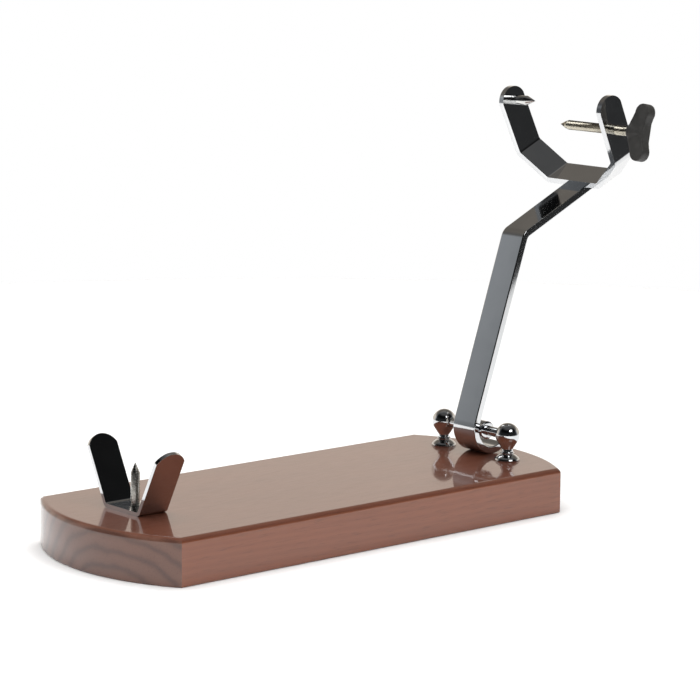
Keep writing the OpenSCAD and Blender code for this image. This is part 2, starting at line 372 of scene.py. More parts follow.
def stretch(tree, vector, scale=(1, 1, 1), rotation=(0, 0, 0), location=(0, 0, 0)):
    made = add(tree, "ShaderNodeMapping", vector_type="TEXTURE")
    made.inputs["Location"].default_value = location
    made.inputs["Rotation"].default_value = rotation
    made.inputs["Scale"].default_value = scale
    link(tree, vector, made.inputs["Vector"])
    return made.outputs["Vector"]


def new_material(name, **constants):
    material = bpy.data.materials.new(name)
    material.use_nodes = True
    tree = material.node_tree
    shader = tree.nodes["Principled BSDF"]
    for label, value in constants.items():
        shader.inputs[label.replace("_", " ")].default_value = value
    place = add(tree, "ShaderNodeTexCoord").outputs["Object"]
    return material, tree, shader, place


def bump(tree, shader, height, strength, distance):
    made = add(tree, "ShaderNodeBump")
    made.inputs["Strength"].default_value = strength
    made.inputs["Distance"].default_value = distance
    link(tree, height, made.inputs["Height"])
    link(tree, made.outputs["Normal"], shader.inputs["Normal"])


def use_group(tree, group, **values):
    made = add(tree, "ShaderNodeGroup", node_tree=group)
    for label, value in values.items():
        socket = made.inputs[label.replace("_", " ")]
        if isinstance(value, bpy.types.NodeSocket):
            link(tree, value, socket)
        else:
            socket.default_value = value
    return made.outputs


# %% [markdown]
# ## Effects that several finishes share
# Three things happen to almost every surface: polishing leaves hair-fine marks in one
# direction, handling rubs the edges, and a little dust settles on what faces up. Each is a
# node group that puts out only a mask or a height, so every finish can use it in its own
# strength while its shader stays in the material.

# %% The shared groups
def polish_marks_group():
    tree, come, go = new_group(
        "polish_marks",
        [("Vector", "NodeSocketVector", None), ("Scale", "NodeSocketFloat", 400.0)],
        [("Marks", "NodeSocketFloat"), ("Smudges", "NodeSocketFloat")])
    scaled = add(tree, "ShaderNodeVectorMath", operation="SCALE")
    link(tree, come.outputs["Vector"], scaled.inputs[0])
    link(tree, come.outputs["Scale"], scaled.inputs["Scale"])
    along = stretch(tree, scaled.outputs[0], scale=(12, 1, 1))
    link(tree, noise(tree, along, 1.0, detail=4), go.inputs["Marks"])
    soft = noise(tree, come.outputs["Vector"], 38.0, detail=2, distortion=0.6)
    link(tree, calculate(tree, "SMOOTH_MIN", soft, 0.75, 0.2), go.inputs["Smudges"])
    return tree


def edge_rub_group():
    tree, come, go = new_group(
        "edge_rub",
        [("Vector", "NodeSocketVector", None), ("Start", "NodeSocketFloat", 0.54)],
        [("Mask", "NodeSocketFloat")])
    sharp = add(tree, "ShaderNodeNewGeometry").outputs["Pointiness"]
    above = calculate(tree, "SUBTRACT", sharp, come.outputs["Start"])
    mask = calculate(tree, "MULTIPLY", above, 14.0)
    broken = noise(tree, come.outputs["Vector"], 160.0, detail=4)
    uneven = calculate(tree, "MULTIPLY", mask, broken)
    made = add(tree, "ShaderNodeClamp")
    link(tree, uneven, made.inputs["Value"])
    link(tree, made.outputs["Result"], go.inputs["Mask"])
    return tree


def dust_group():
    tree, come, go = new_group(
        "settled_dust",
        [("Vector", "NodeSocketVector", None), ("Normal", "NodeSocketVector", None),
         ("Amount", "NodeSocketFloat", 0.3)],
        [("Mask", "NodeSocketFloat")])
    parts = add(tree, "ShaderNodeSeparateXYZ")
    link(tree, come.outputs["Normal"], parts.inputs[0])
    upward = calculate(tree, "MAXIMUM", parts.outputs["Z"], 0.0)
    specks = noise(tree, come.outputs["Vector"], 900.0, detail=2)
    clouds = noise(tree, come.outputs["Vector"], 14.0, detail=4)
    speckled = calculate(tree, "MULTIPLY", calculate(tree, "POWER", specks, 3.0), clouds)
    lying = calculate(tree, "MULTIPLY", speckled, upward)
    link(tree, calculate(tree, "MULTIPLY", lying, come.outputs["Amount"]), go.inputs["Mask"])
    return tree


polish_marks = polish_marks_group()
edge_rub = edge_rub_group()
settled_dust = dust_group()
print("shared groups:", [g.name for g in bpy.data.node_groups])

# %% [markdown]
# ## Stained wood under lacquer
# The board is one plank, so its figure must run through it: the rings of the tree show as
# lengthwise lines on the top and sides and as arches on the end grain. A texture made in
# space does that by itself. Rings are distances from a line along the board, the line of
# the tree's heart, pushed about by noise. The same group gives the small dark pores.

# %% The wood figure
def wood_figure_group():
    tree, come, go = new_group(
        "wood_figure",
        [("Vector", "NodeSocketVector", None), ("Ring Width", "NodeSocketFloat", 0.004)],
        [("Rings", "NodeSocketFloat"), ("Pores", "NodeSocketFloat"), ("Clouds", "NodeSocketFloat")])
    heart = stretch(tree, come.outputs["Vector"], location=(0, -0.035, -0.042))
    parts = add(tree, "ShaderNodeSeparateXYZ")
    link(tree, heart, parts.inputs[0])
    across = calculate(tree, "POWER", parts.outputs["Y"], 2.0)
    up = calculate(tree, "POWER", parts.outputs["Z"], 2.0)
    distance = calculate(tree, "SQRT", calculate(tree, "ADD", across, up))
    sway = noise(tree, stretch(tree, come.outputs["Vector"], scale=(9, 1, 1)), 26.0, detail=3)
    swayed = calculate(tree, "MULTIPLY_ADD", sway, 0.016, distance)
    turns = calculate(tree, "DIVIDE", swayed, come.outputs["Ring Width"])
    wave = calculate(tree, "SINE", calculate(tree, "MULTIPLY", turns, 2 * pi))
    link(tree, calculate(tree, "MULTIPLY_ADD", wave, 0.5, 0.5), go.inputs["Rings"])
    fine = stretch(tree, come.outputs["Vector"], scale=(16, 1, 1))
    link(tree, noise(tree, fine, 900.0, detail=3, roughness=0.6), go.inputs["Pores"])
    broad = stretch(tree, come.outputs["Vector"], scale=(5, 1, 1))
    link(tree, noise(tree, broad, 30.0, detail=4), go.inputs["Clouds"])
    return tree


wood_figure = wood_figure_group()

# %% The lacquered board's material
def make_stained_wood():
    material, tree, shader, place = new_material(
        "stained_wood", Roughness=0.42, Coat_Weight=1.0, Coat_Roughness=0.05, Coat_IOR=1.5,
        Specular_IOR_Level=0.3)
    facing = tree.nodes["Texture Coordinate"].outputs["Normal"]
    figure = use_group(tree, wood_figure, Vector=place, Ring_Width=0.0042)
    arches = use_group(tree, wood_figure, Vector=place, Ring_Width=0.0125)
    face_colour = ramp(tree, figure["Rings"], [(0.0, (0.192, 0.055, 0.022)), (1.0, (0.208, 0.061, 0.025))])
    end_colour = ramp(tree, arches["Rings"], [(0.0, (0.085, 0.037, 0.026)), (0.45, (0.125, 0.055, 0.037)),
                                              (1.0, (0.138, 0.062, 0.042))])
    parts = add(tree, "ShaderNodeSeparateXYZ")
    link(tree, facing, parts.inputs[0])
    # Painted light: faces that look up get a darker copy of the stain than the sides, set against the
    # stronger light that falls on the top.
    painted_top_shade_colour = ramp(tree, figure["Rings"], [(0.0, (0.110, 0.034, 0.018)), (1.0, (0.116, 0.037, 0.020))])
    painted_top_shade_mask = ramp(tree, parts.outputs["Z"], [(0.10, grey(0)), (0.45, grey(1))])
    face_colour = blend_colours(tree, painted_top_shade_mask, face_colour, painted_top_shade_colour)
    end_grain = ramp(tree, calculate(tree, "ABSOLUTE", parts.outputs["X"]),
                     [(0.45, grey(0)), (0.75, grey(1))])
    colour = blend_colours(tree, end_grain, face_colour, end_colour)
    cloudy = ramp(tree, figure["Clouds"], [(0.25, grey(0.90)), (0.75, grey(1.06))])
    colour = blend_colours(tree, 1.0, colour, cloudy, "MULTIPLY")
    pores = ramp(tree, figure["Pores"], [(0.28, grey(0.55)), (0.45, grey(1.0))])
    colour = blend_colours(tree, 0.6, colour, pores, "MULTIPLY")
    rub = use_group(tree, edge_rub, Vector=place, Start=0.55)["Mask"]
    colour = blend_colours(tree, calculate(tree, "MULTIPLY", rub, 0.35), colour, (0.34, 0.13, 0.07, 1))
    dust = use_group(tree, settled_dust, Vector=place, Normal=facing, Amount=0.10)["Mask"]
    colour = blend_colours(tree, dust, colour, (0.75, 0.72, 0.68, 1))
    link(tree, colour, shader.inputs["Base Color"])
    link(tree, calculate(tree, "MULTIPLY_ADD", figure["Pores"], -0.15, 0.5), shader.inputs["Roughness"])
    bump(tree, shader, figure["Pores"], 0.12, 0.00025)
    flow = add(tree, "ShaderNodeBump")
    flow.inputs["Strength"].default_value = 0.05
    flow.inputs["Distance"].default_value = 0.0006
    link(tree, figure["Clouds"], flow.inputs["Height"])
    link(tree, flow.outputs["Normal"], shader.inputs["Coat Normal"])
    return material


stained_wood = make_stained_wood()
print("made", stained_wood.name)

# %% [markdown]
# ## Chrome, nickel and zinc
# Chrome plate is a mirror with a faint grey tint. What makes it read as metal and not as
# glass is small: hair marks from the polishing wheel, soft smudges that dull it by a few
# hundredths, and edges where the wheel went over a little more. The turned parts keep the
# rings of the lathe tool, so their marks go round the axis and not along it.

# %% The metals
def make_chrome():
    material, tree, shader, place = new_material("bright_chrome", Metallic=1.0, Roughness=0.06)
    marks = use_group(tree, polish_marks, Vector=place, Scale=500.0)
    rub = use_group(tree, edge_rub, Vector=place, Start=0.53)["Mask"]
    tint = ramp(tree, marks["Smudges"], [(0.2, (0.61, 0.62, 0.635)), (0.8, (0.69, 0.70, 0.71))])
    link(tree, blend_colours(tree, rub, tint, (0.83, 0.84, 0.85, 1)), shader.inputs["Base Color"])
    dull = calculate(tree, "MULTIPLY_ADD", marks["Smudges"], 0.07, 0.03)
    dull = calculate(tree, "MULTIPLY_ADD", rub, 0.06, dull)
    link(tree, calculate(tree, "MULTIPLY_ADD", marks["Marks"], 0.03, dull), shader.inputs["Roughness"])
    bump(tree, shader, marks["Marks"], 0.025, 0.00008)
    return material


def make_turned_metal(name, frame_of_piece, dark, bright, roughness):
    material, tree, shader, place = new_material(name, Metallic=1.0, Roughness=roughness)
    own = frame_of_piece.to_euler()
    here = stretch(tree, place, location=frame_of_piece.translation, rotation=own)
    marks = use_group(tree, polish_marks, Vector=place, Scale=700.0)
    rings = noise(tree, stretch(tree, here, scale=(40, 40, 1)), 2600.0, detail=3)
    rub = use_group(tree, edge_rub, Vector=place, Start=0.53)["Mask"]
    tone = calculate(tree, "MULTIPLY_ADD", rings, 0.5, calculate(tree, "MULTIPLY", marks["Smudges"], 0.5))
    colour = ramp(tree, tone, [(0.25, dark), (0.75, bright)])
    link(tree, blend_colours(tree, rub, colour, (0.80, 0.79, 0.76, 1)), shader.inputs["Base Color"])
    uneven = calculate(tree, "MULTIPLY_ADD", rings, 0.16, roughness - 0.08)
    link(tree, calculate(tree, "MULTIPLY_ADD", marks["Smudges"], 0.06, uneven), shader.inputs["Roughness"])
    bump(tree, shader, rings, 0.12, 0.00006)
    return material


chrome = make_chrome()
upright = Matrix.Translation((spike_at.x, spike_at.y, 0))
spike_steel = make_turned_metal("turned_spike_steel", upright, (0.36, 0.35, 0.32), (0.56, 0.54, 0.50), 0.24)
screw_nickel = make_turned_metal("nickel_plate", screw_frame, (0.40, 0.37, 0.30), (0.62, 0.58, 0.48), 0.22)
tooth_steel = make_turned_metal("polished_tooth_steel", tooth_frame,
                                (0.62, 0.62, 0.61), (0.76, 0.76, 0.75), 0.12)
zinc = make_turned_metal("zinc_plate", upright, (0.42, 0.44, 0.46), (0.62, 0.64, 0.66), 0.34)
print("made", [m.name for m in (chrome, spike_steel, screw_nickel, tooth_steel, zinc)])

# %% [markdown]
# ## Moulded plastic
# The grip is a dark moulding. Its mould was spark eroded, which leaves a fine even grain,
# and the two halves of the mould leave a hair line round the middle. Fingers polish the
# high places, so they are slightly smoother than the rest.

# %% The grip's plastic
def make_moulded_plastic():
    material, tree, shader, place = new_material(
        "moulded_grip_plastic", Roughness=0.5, Specular_IOR_Level=0.45)
    own = knob_frame.to_euler()
    here = stretch(tree, place, location=knob_frame.translation, rotation=own)
    grain = noise(tree, place, 2400.0, detail=2)
    clouds = noise(tree, place, 120.0, detail=3)
    rub = use_group(tree, edge_rub, Vector=place, Start=0.52)["Mask"]
    colour = ramp(tree, clouds, [(0.3, (0.024, 0.0235, 0.0225)), (0.7, (0.038, 0.0375, 0.036))])
    colour = blend_colours(tree, calculate(tree, "MULTIPLY", rub, 0.4), colour, (0.07, 0.069, 0.066, 1))
    link(tree, colour, shader.inputs["Base Color"])
    rough = calculate(tree, "MULTIPLY_ADD", grain, 0.16, 0.42)
    link(tree, calculate(tree, "MULTIPLY_ADD", rub, -0.12, rough), shader.inputs["Roughness"])
    parts = add(tree, "ShaderNodeSeparateXYZ")
    link(tree, here, parts.inputs[0])
    off_line = calculate(tree, "ABSOLUTE", parts.outputs["Y"])
    seam = calculate(tree, "LESS_THAN", off_line, 0.12 * mm)
    bump(tree, shader, calculate(tree, "MULTIPLY_ADD", seam, 0.6, grain), 0.22, 0.00012)
    return material


moulded_plastic = make_moulded_plastic()
print("made", moulded_plastic.name)

# %% [markdown]
# ## The board
# A joiner would saw the plank, round its two ends on the bandsaw, run a router along the
# top and break the bottom edge with sandpaper. The outline is drawn first: one corner
# point is spun round the end's centre to give the bulged end, and the two ends are joined
# by a face. The face is extruded to the board's height, and its edges are bevelled by
# their place: wide on top and narrow below. The four upright corners stay crisp, because
# a corner rounding smaller than the top's would make the top's bevel cross itself. Last
# the whole board is bisected every twenty millimetres, so that no long thin triangles are
# left to spoil the shading of the wide lacquered top.

# %% Draw the outline and extrude it
def point_at(name, place):
    deselect_all()
    bpy.ops.mesh.primitive_plane_add(size=1)
    piece = bpy.context.object
    piece.name = name
    open_piece(piece, "VERT")
    bpy.ops.mesh.select_all(action="SELECT")
    bpy.ops.mesh.merge(type="CENTER")
    bpy.ops.transform.translate(value=place)
    return piece


board_size = board_high - board_low
half_w = board_size.y / 2
end_r = (half_w ** 2 + end_bulge ** 2) / (2 * end_bulge)
end_x = board_size.x / 2 - end_r
end_half_turn = asin(half_w / end_r)
end_steps = 28
strip_len = 20 * mm

board = point_at("board", (end_x + end_r * cos(end_half_turn), half_w, 0))
bpy.ops.mesh.spin(steps=end_steps, angle=2 * end_half_turn, center=(end_x, 0, 0), axis=(0, 0, 1))
first = bmesh.from_edit_mesh(board.data)
print("the arc runs to y =", round(min(v.co.y for v in first.verts) / mm, 1), "mm")
bpy.ops.mesh.select_all(action="SELECT")
bpy.ops.mesh.duplicate()
resize((-1, 1, 1))
bpy.ops.mesh.select_all(action="SELECT")
bpy.ops.mesh.delete_loose(use_verts=True, use_edges=False, use_faces=False)
close_piece()

# %% Close the outline, raise it and round its edges
def board_corner(vert):
    return abs(abs(vert.co.y) - half_w) < 0.01 * mm


open_piece(board, "VERT")
for side in (1, -1):
    bpy.ops.mesh.select_all(action="DESELECT")
    pick(board, "verts", lambda v: board_corner(v) and v.co.y * side > 0)
    bpy.ops.mesh.edge_face_add()
bpy.ops.mesh.select_all(action="SELECT")
bpy.ops.mesh.edge_face_add()
extrude((0, 0, board_size.z))
close_piece()
clean(board)

open_piece(board, "EDGE")
for height, rounding, steps in ((board_size.z, top_round, 7), (0, bottom_round, 3)):
    bpy.ops.mesh.select_all(action="DESELECT")
    pick(board, "edges", lambda e: all(abs(v.co.z - height) < 0.01 * mm for v in e.verts))
    bpy.ops.mesh.bevel(offset=rounding, segments=steps, affect="EDGES")
bpy.ops.mesh.select_all(action="DESELECT")
pick(board, "faces", lambda f: f.normal.z > 0.99 and f.calc_area() > 0.01)
extrude((0, 0, 0))
resize((0.995, 0.99, 1))
for k in range(-9, 10):
    bpy.ops.mesh.select_all(action="SELECT")
    bpy.ops.mesh.bisect(plane_co=(k * strip_len, 0, 0), plane_no=(1, 0, 0))
close_piece()

# %% Counterbore it for the bolts and hand it over
# The bolt holes stop just under the top face, where the posts and the cradle cover them.
recess_r, recess_h, bolt_r = 10 * mm, 12 * mm, 3 * mm
bolt_places = [(spike_at.x, spike_at.y), (axle.x, far_post.y), (axle.x, -far_post.y)]
for x, y in bolt_places:
    drill(board, recess_r, (x, y, -2 * mm), (x, y, recess_h))
    drill(board, bolt_r + 0.25 * mm, (x, y, -2 * mm), (x, y, board_top - 1 * mm))
smooth(board, angle=radians(32))
hand_over(board, "stand", "varnished_wood", stained_wood, "base_board")

# %% [markdown]
# ## Bending flat bar
# The cradle, the arm and the claw are all the same job: flat bar bent cold round a former.
# The function below works the same way. It starts with the bar's cross-section, a flat
# rectangle, and goes along the path: a straight run is an extrusion, and a bend is a spin
# about the former's centre. A round end is a row of short extrusions, each one narrower.
# Last the long edges are rounded, as rolled bar has them; on chrome that thin rounding is
# what catches the light.

# %% Bend a bar along a path
bar_step = radians(3)


def cross_section(name, width, thick):
    deselect_all()
    bpy.ops.mesh.primitive_plane_add(size=1, rotation=(0, pi / 2, 0), location=(0, 0, thick / 2))
    piece = bpy.context.object
    piece.name = name
    piece.scale = (thick, width, 1)
    settle(piece)
    open_piece(piece)
    bpy.ops.mesh.select_all(action="SELECT")
    return piece


def round_off(heading, width, tip_r, steps=9):
    start = asin(width / 2 / tip_r)
    for k in range(steps):
        now, then = start * (1 - k / steps), start * (1 - (k + 1) / steps)
        extrude(heading * tip_r * (cos(then) - cos(now)))
        resize((1, max(sin(then), 0.0001) / sin(now), 1))


def bend_bar(name, width, thick, path, tip_r=None):
    piece = cross_section(name, width, thick)
    at, aim = Vector((0, 0, 0)), 0.0
    heading = Vector((1, 0, 0))
    for step in path:
        if step[0] == "run":
            extrude(heading * step[1])
            at = at + heading * step[1]
            continue
        former = at + (step[1] + thick) * Vector((-sin(aim), 0, cos(aim)))
        bpy.ops.mesh.spin(steps=ceil(step[2] / bar_step), angle=step[2], center=former, axis=(0, 1, 0))
        aim = aim + step[2]
        at = former + (step[1] + thick) * Vector((sin(aim), 0, -cos(aim)))
        heading = Vector((cos(aim), 0, sin(aim)))
    if tip_r:
        round_off(heading, width, tip_r)
    close_piece()
    clean(piece)
    return piece


def both_ways(piece):
    open_piece(piece)
    pick(piece, "faces", lambda f: all(abs(v.co.x) < 0.01 * mm for v in f.verts))
    bpy.ops.mesh.delete(type="FACE")
    close_piece()
    mirror = piece.modifiers.new("other_half", "MIRROR")
    mirror.use_clip = True
    apply_modifiers(piece)
    clean(piece)


# %% [markdown]
# ## The cradle
# A three millimetre strip is bent into a V with a flat floor, and the two wing ends are
# ground round. Only one half is bent here. The other is its mirror image, which is what a
# press would give as well. The spike's stud passes through a hole in the floor.

# %% Bend the cradle
cradle_cut = bend_cut(2 * mm, cradle_t, wing_turn)
wing_straight = wing_len - cradle_cut - (wing_tip_r - sqrt(wing_tip_r ** 2 - (cradle_w / 2) ** 2))
cradle = bend_bar("cradle", cradle_w, cradle_t,
                  [("run", cradle_floor / 2 - cradle_cut), ("bend", 2 * mm, wing_turn),
                   ("run", wing_straight)], wing_tip_r)
both_ways(cradle)
settle(cradle, Matrix.Translation((spike_at.x, spike_at.y, board_top)) @ Matrix.Rotation(pi / 2, 4, "Z"))
drill(cradle, bolt_r + fit, (spike_at.x, spike_at.y, board_top - 2 * mm),
      (spike_at.x, spike_at.y, board_top + cradle_t + 2 * mm))
round_edges(cradle, 0.7 * mm)
smooth(cradle)
hand_over(cradle, "stand", "chrome", chrome, "cradle_bracket")

# %% [markdown]
# ## The arm
# The arm is one piece of six millimetre bar. It starts with the curled foot, which lands
# on the board and stops the arm, then comes the leg, the knee and the upper run that
# carries the claw.

# %% Bend the arm
arm = bend_bar("arm", arm_w, arm_t,
               [("bend", foot_r - arm_t, foot_tail + pi / 2 + leg_lean), ("run", leg_len),
                ("bend", knee_r, knee_turn), ("run", upper_len)])
settle(arm, arm_frame)
round_edges(arm, 1.2 * mm, segments=4)
smooth(arm)
hand_over(arm, "arm", "chrome", chrome, "arm_bar")

# %% [markdown]
# ## The claw
# The claw is a five sided ring left open at the top: a floor, two slanting runs and two
# sides with round ends. It is bent as half a ring and mirrored, then drilled for the hand
# screw on the near side and for the tooth's rivet on the far side.

# %% Bend and drill the claw
claw_tip_r = claw_w / 2 + 0.4 * mm
tip_reach = sqrt(claw_tip_r ** 2 - (claw_w / 2) ** 2)
claw = bend_bar("claw", claw_w, claw_t,
                [("run", corner_low.y - cut_low), ("bend", claw_bend_r, turn_low),
                 ("run", slant_out - cut_low - cut_high), ("bend", claw_bend_r, turn_high),
                 ("run", side_out - cut_high + tip_reach)], claw_tip_r)
both_ways(claw)
settle(claw, claw_frame @ Matrix.Rotation(pi / 2, 4, "Z"))
drill(claw, screw_r + fit, screw_frame @ Vector((0, 0, -side_y - claw_t)),
      screw_frame @ Vector((0, 0, -side_y + 3 * claw_t)))
drill(claw, 3.05 * mm, tooth_frame @ Vector((0, 0, -3 * mm)), tooth_frame @ Vector((0, 0, claw_t + 3 * mm)))
round_edges(claw, 1.1 * mm, segments=4)
smooth(claw)
hand_over(claw, "arm", "chrome", chrome, "claw_ring")

# %% [markdown]
# ## Turning on the lathe
# The posts, the spike, the tooth, the axle and its sleeve are round, so they are all made
# by one lathe function. It takes rows of height and radius. The first row is a disc, and
# every further row is an extrusion upwards followed by a resize, which is a lathe cut seen
# from the side. Rounded profiles are rows worked out along an arc.

# %% The lathe
def turned(name, rows, steps=72):
    deselect_all()
    bpy.ops.mesh.primitive_circle_add(vertices=steps, radius=rows[0][1], fill_type="NGON",
                                      location=(0, 0, rows[0][0]))
    piece = bpy.context.object
    piece.name = name
    settle(piece)
    open_piece(piece)
    bpy.ops.mesh.select_all(action="SELECT")
    for (low, wide), (high, narrow) in zip(rows, rows[1:]):
        extrude((0, 0, high - low))
        ratio = max(narrow, 0.0005 * mm) / max(wide, 0.0005 * mm)
        resize((ratio, ratio, 1))
    close_piece()
    clean(piece)
    return piece


def arc_rows(height, out, radius, start, end, steps):
    angles = [radians(start + (end - start) * k / steps) for k in range(steps + 1)]
    return [(height + radius * sin(a), out + radius * cos(a)) for a in angles]


def chamfered_rod(bottom, top, radius, chamfer):
    return ([(bottom, radius - chamfer)] + arc_rows(bottom + chamfer, radius - chamfer, chamfer, -60, 0, 3)
            + arc_rows(top - chamfer, radius - chamfer, chamfer, 0, 90, 4))


# %% [markdown]
# ## The ball posts
# Two turned posts hold the axle. From the board up each has a flat rim, a low dome, a
# bead, a neck, a flaring cone and the ball. The cone meets the ball where both have the
# same slope, so there is no crease. The second post is a copy with its own mesh, turned
# half way round so that its bore also faces the middle.

# %% Turn the posts
post_foot_r, post_rim, post_dome = 10.25 * mm, 1.4 * mm, 4.8 * mm
bead_z, bead_r, neck_r, neck_z = 6.1 * mm, 1.3 * mm, 4.4 * mm, 8.6 * mm
axle_h = axle.z - board_top
cone_turn = 30


def post_rows():
    dome_r = (post_foot_r ** 2 + post_dome ** 2) / (2 * post_dome)
    dome_z = post_rim + post_dome - dome_r
    dome_out = degrees(asin((post_rim - dome_z) / dome_r))
    dome_in = degrees(acos((neck_r + bead_r * 0.75) / dome_r))
    rim_round = 0.5 * mm
    rows = [(0, post_foot_r - 0.3 * mm), (0.3 * mm, post_foot_r)]
    rows += arc_rows(post_rim - rim_round, post_foot_r - rim_round, rim_round, 0, 45, 3)
    rows += arc_rows(dome_z, 0, dome_r, dome_out + 2, dome_in, 10)
    rows += arc_rows(bead_z, neck_r, bead_r, -35, 80, 9)
    rows += arc_rows(neck_z + 0.9 * mm, neck_r + 0.9 * mm, 0.9 * mm, 200, 180, 2)
    rows += arc_rows(axle_h, 0, ball_r, -cone_turn, 90, 26)
    return rows


def turn_posts():
    far = turned("far_post", post_rows())
    settle(far, Matrix.Translation((axle.x, far_post.y, board_top)))
    drill(far, axle_r + fit, (axle.x, 0, axle.z), (axle.x, far_post.y + axle_r * 1.3, axle.z))
    drill(far, bolt_r + fit, (axle.x, far_post.y, board_top - 1 * mm),
          (axle.x, far_post.y, board_top + 10.5 * mm))
    near = far.copy()
    near.data = far.data.copy()
    near.name = "near_post"
    bpy.context.scene.collection.objects.link(near)
    half_turn = Matrix.Translation((axle.x, 0, 0)) @ Matrix.Rotation(pi, 4, "Z")
    settle(near, half_turn @ Matrix.Translation((-axle.x, 0, 0)))
    return far, near


far_ball, near_ball = turn_posts()
for ball, node in ((far_ball, "far_ball_post"), (near_ball, "near_ball_post")):
    smooth(ball, angle=radians(40), weighted=False)
    hand_over(ball, "stand", "chrome", chrome, node)

# %% [markdown]
# ## Axle and sleeve
# The axle is plain round rod with broken ends, let into the two balls. The sleeve is a
# short tube on it that touches the back of the arm's bar along one line, where the two
# are welded. Its ends are rounded over, as a tube that has been faced and polished is.

# %% Make the axle and the sleeve
along_axle = Matrix.Translation(axle) @ Matrix.Rotation(-pi / 2, 4, "X")
axle_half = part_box("axle_rod")[1].y
rod = turned("axle", chamfered_rod(-axle_half, axle_half, axle_r, 0.5 * mm))
settle(rod, along_axle)
smooth(rod, weighted=False)
hand_over(rod, "stand", "chrome", chrome, "axle_rod")

sleeve_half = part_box("pivot_sleeve")[1].y
sleeve = turned("sleeve", chamfered_rod(-sleeve_half, sleeve_half, sleeve_r, 0.6 * mm))
settle(sleeve, along_axle)
drill(sleeve, axle_r + fit, (axle.x, -sleeve_half - 1 * mm, axle.z),
      (axle.x, sleeve_half + 1 * mm, axle.z))
smooth(sleeve, weighted=False)
hand_over(sleeve, "arm", "chrome", chrome, "pivot_sleeve")

# %% [markdown]
# ## Spike and tooth
# Both are turned points. The spike stands on the cradle's floor and its stud goes down
# through the board to a nut. The tooth is riveted into the claw's far side: the rivet's
# shank fills the hole and its head is filed nearly flush outside.

# %% Turn the spike and the tooth
spike_low, spike_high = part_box("cradle_spike")
spike_base = board_top + cradle_t
spike_rows = ([(spike_low.z, bolt_r - 0.4 * mm), (spike_low.z + 0.4 * mm, bolt_r), (spike_base, bolt_r),
               (spike_base, spike_r - 0.25 * mm), (spike_base + 0.25 * mm, spike_r)]
              + [(spike_high.z - spike_point - 0.3 * mm, spike_r),
                 (spike_high.z - spike_point + 0.3 * mm, spike_r - 0.25 * mm),
                 (spike_high.z - 0.25 * mm, 0.28 * mm), (spike_high.z - 0.06 * mm, 0.16 * mm),
                 (spike_high.z, 0)])
spike = turned("spike", spike_rows, steps=48)
settle(spike, upright)
smooth(spike, weighted=False)
hand_over(spike, "stand", "nickel_steel", spike_steel, "cradle_spike")

tooth_end = claw_t + tooth_len
tooth_rows = [(0, 2.6 * mm), (0.25 * mm, 3 * mm), (claw_t, 3 * mm), (claw_t, tooth_r - 0.3 * mm),
              (claw_t + 0.3 * mm, tooth_r), (tooth_end - tooth_point - 0.4 * mm, tooth_r),
              (tooth_end - tooth_point + 0.4 * mm, tooth_r - 0.3 * mm),
              (tooth_end - 0.3 * mm, 0.3 * mm), (tooth_end - 0.08 * mm, 0.17 * mm), (tooth_end, 0)]
tooth = turned("tooth", tooth_rows, steps=48)
settle(tooth, tooth_frame)
smooth(tooth, weighted=False)
hand_over(tooth, "arm", "nickel_steel", tooth_steel, "claw_tooth")

# %% [markdown]
# ## The hand screw
# A thread is a small V shape carried round a rod while it climbs, and the Screw modifier
# does exactly that. One pitch of the profile is drawn point by point, swept up the rod in
# as many turns as fit, and merged into one skin. Both ends are capped inside the shank
# and the point, which are turned on their own and joined to it, as a real thread also
# stops short of both.

# %% Cut the thread
def threaded(name, crest, root, pitch, bottom, top, steps=32):
    piece = point_at(name, (root, 0, bottom))
    for rise, out in ((0.36, crest - root), (0.14, 0), (0.36, root - crest), (0.14, 0)):
        bpy.ops.mesh.extrude_vertices_move(TRANSFORM_OT_translate={"value": (out, 0, rise * pitch)})
    close_piece()
    sweep = piece.modifiers.new("thread", "SCREW")
    sweep.axis = "Z"
    sweep.angle = 2 * pi
    sweep.screw_offset = pitch
    sweep.iterations = int((top - bottom) / pitch) - 1
    sweep.steps = sweep.render_steps = steps
    apply_modifiers(piece)
    clean(piece, 0.01 * mm)
    return piece


def cap_rims(piece):
    """Closes the two open ends that the sweep leaves."""
    half_way = sum(v.co.z for v in piece.data.vertices) / len(piece.data.vertices)
    for side in (1, -1):
        open_piece(piece, "EDGE")
        pick(piece, "edges", lambda e: len(e.link_faces) == 1 and (e.verts[0].co.z - half_way) * side > 0)
        bpy.ops.mesh.edge_face_add()
        close_piece()
    clean(piece)


# %% Join thread, shank and point
screw_root = screw_r - 0.62 * mm
shank_end = -knob_face + 5 * mm
cone_start = screw_reach - screw_point
screw = threaded("hand_screw", screw_r - 0.02 * mm, screw_root, screw_pitch, shank_end - screw_pitch,
                 cone_start + 0.5 * screw_pitch)
cap_rims(screw)
shank = turned("shank", chamfered_rod(-screw_tail, shank_end + 0.3 * mm, screw_r, 0.4 * mm), steps=64)
point = turned("point", [(cone_start - 3 * mm, screw_root - 0.4 * mm), (cone_start - 2.6 * mm, screw_root),
                         (cone_start + 0.6 * mm, screw_root),
                         (cone_start + 1.4 * mm, screw_root - 0.25 * mm),
                         (screw_reach - 0.3 * mm, 0.38 * mm), (screw_reach, 0.14 * mm)], steps=64)
make_active(screw, shank, point)
bpy.ops.object.join()
settle(screw, screw_frame)
smooth(screw, angle=radians(38), weighted=False)
hand_over(screw, "screw", "nickel_steel", screw_nickel, "hoof_screw")

# %% [markdown]
# ## The grip
# The wing grip is moulded: two round lobes joined by a web, with a hub that holds the
# screw. It is roughed out of plain shapes, a cube whose side faces are extruded out to the
# lobes, two discs and a hub, then fused by a fine voxel remesh and smoothed. Smoothing
# after fusing is what gives a moulding its soft inside corners.

# %% Rough out and fuse the grip
lobe_x, lobe_z = knob_len / 2 - lobe_r, knob_depth - lobe_r


